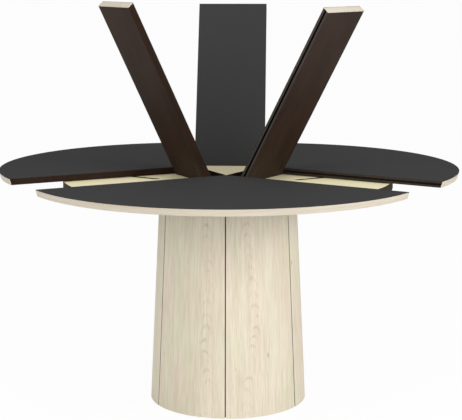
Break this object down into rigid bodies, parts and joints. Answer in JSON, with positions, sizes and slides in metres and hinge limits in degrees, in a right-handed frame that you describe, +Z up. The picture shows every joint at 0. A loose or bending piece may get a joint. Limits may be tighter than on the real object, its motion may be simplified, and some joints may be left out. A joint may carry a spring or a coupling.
{
  "type": "swivel extending table",
  "caption": "Round pedestal dining table whose top swivels open into sliding sectors, with hinged leaves that stand up and fold down flat into the gaps around a central triangle.",
  "frame": {"origin": "on the drum's axis, on the underside of the base disc, at the floor", "axes": "+Z up along the drum's axis; -Y along the middle of the front sector, towards the viewer"},
  "size_m": [1.4578, 1.4265, 1.2637],
  "materials": {
    "pale_veneer": "matt lacquered veneer",
    "pale_edging": "matt lacquered edging",
    "drum_core": "stained plywood",
    "brown_board": "dark brown stained board",
    "black_laminate": "matt laminate",
    "bright_steel": "zinc plated",
    "black_steel": "powder coat",
    "bronze_channel": "bronze anodised",
    "nylon": "natural nylon"
  },
  "bodies": {
    "pedestal": {"base_disc": "drum_core", "drum_panel_1": "pale_veneer", "drum_panel_2": "pale_veneer", "drum_panel_3": "pale_veneer", "drum_panel_4": "pale_veneer", "drum_panel_5": "pale_veneer", "drum_panel_6": "pale_veneer", "seam_battens": "drum_core", "drum_head": "drum_core", "cam_plate": "drum_core", "cam_screws": "bright_steel", "lower_race": "bright_steel", "lower_race_screws": "bright_steel"},
    "carrier": {"sub_plate": "brown_board", "sub_plate_veneer": "pale_veneer", "upper_race": "bright_steel", "upper_race_screws": "bright_steel", "bearing_balls": "bright_steel", "centre_spider": "black_steel", "spider_screws": "bright_steel", "hinge_brackets": "black_steel", "bracket_screws": "bright_steel", "hinge_rods": "bright_steel"},
    "centre": {"centre_board": "brown_board", "centre_veneer": "pale_veneer", "centre_post": "bright_steel"},
    "sector_front": {"sector_front_board": "brown_board", "sector_front_laminate": "black_laminate", "sector_front_rim": "pale_edging", "sector_front_guide_pins": "nylon", "sector_front_follower": "nylon"},
    "sector_right": {"sector_right_board": "brown_board", "sector_right_laminate": "black_laminate", "sector_right_rim": "pale_edging", "sector_right_guide_pins": "nylon", "sector_right_follower": "nylon"},
    "sector_left": {"sector_left_board": "brown_board", "sector_left_laminate": "black_laminate", "sector_left_rim": "pale_edging", "sector_left_guide_pins": "nylon", "sector_left_follower": "nylon"},
    "cradle_rear": {"leaf_rear_cradle": "black_steel"},
    "leaf_rear": {"leaf_rear_board": "brown_board", "leaf_rear_laminate": "black_laminate", "leaf_rear_end_band": "pale_edging", "leaf_rear_rails": "bronze_channel"},
    "cradle_left": {"leaf_left_cradle": "black_steel"},
    "leaf_left": {"leaf_left_board": "brown_board", "leaf_left_laminate": "black_laminate", "leaf_left_end_band": "pale_edging", "leaf_left_rails": "bronze_channel"},
    "cradle_right": {"leaf_right_cradle": "black_steel"},
    "leaf_right": {"leaf_right_board": "brown_board", "leaf_right_laminate": "black_laminate", "leaf_right_end_band": "pale_edging", "leaf_right_rails": "bronze_channel"}
  },
  "joints": [
    {"name": "top_swivel", "type": "hinge", "parent": "pedestal", "child": "carrier", "pos_m": [0, 0, 0.682], "axis": [0, 0, -1], "range_deg": [-1.6, 0]},
    {"name": "centre_lift", "type": "slide", "parent": "carrier", "child": "centre", "axis": [0, 0, 1], "range_m": [-0.024, 0]},
    {"name": "sector_front_slide", "type": "slide", "parent": "carrier", "child": "sector_front", "axis": [0, -1, 0], "range_m": [-0.0032, 0]},
    {"name": "sector_right_slide", "type": "slide", "parent": "carrier", "child": "sector_right", "axis": [0.866, 0.5, 0], "range_m": [-0.0032, 0]},
    {"name": "sector_left_slide", "type": "slide", "parent": "carrier", "child": "sector_left", "axis": [-0.866, 0.5, 0], "range_m": [-0.0032, 0]},
    {"name": "leaf_rear_tilt", "type": "hinge", "parent": "carrier", "child": "cradle_rear", "pos_m": [0, 0.135, 0.7125], "axis": [1, 0, 0], "range_deg": [-60.5, 29.5]},
    {"name": "leaf_rear_draw", "type": "slide", "parent": "cradle_rear", "child": "leaf_rear", "axis": [0, 0.4924, 0.8704], "range_m": [-0.0551, 0]},
    {"name": "leaf_left_tilt", "type": "hinge", "parent": "carrier", "child": "cradle_left", "pos_m": [-0.11691, -0.0675, 0.7125], "axis": [-0.5, 0.866, 0], "range_deg": [-64.4, 25.6]},
    {"name": "leaf_left_draw", "type": "slide", "parent": "cradle_left", "child": "leaf_left", "axis": [-0.3742, -0.216, 0.9018], "range_m": [-0.0551, 0]},
    {"name": "leaf_right_tilt", "type": "hinge", "parent": "carrier", "child": "cradle_right", "pos_m": [0.11691, -0.0675, 0.7125], "axis": [-0.5, -0.866, 0], "range_deg": [-61.4, 28.6]},
    {"name": "leaf_right_draw", "type": "slide", "parent": "cradle_right", "child": "leaf_right", "axis": [0.4146, -0.2393, 0.878], "range_m": [-0.0551, 0]}
  ],
  "couplings": [
    {"joint": "sector_front_slide", "follows": "top_swivel", "m_per_rad": 0.11459},
    {"joint": "sector_right_slide", "follows": "top_swivel", "m_per_rad": 0.11459},
    {"joint": "sector_left_slide", "follows": "top_swivel", "m_per_rad": 0.11459}
  ]
}
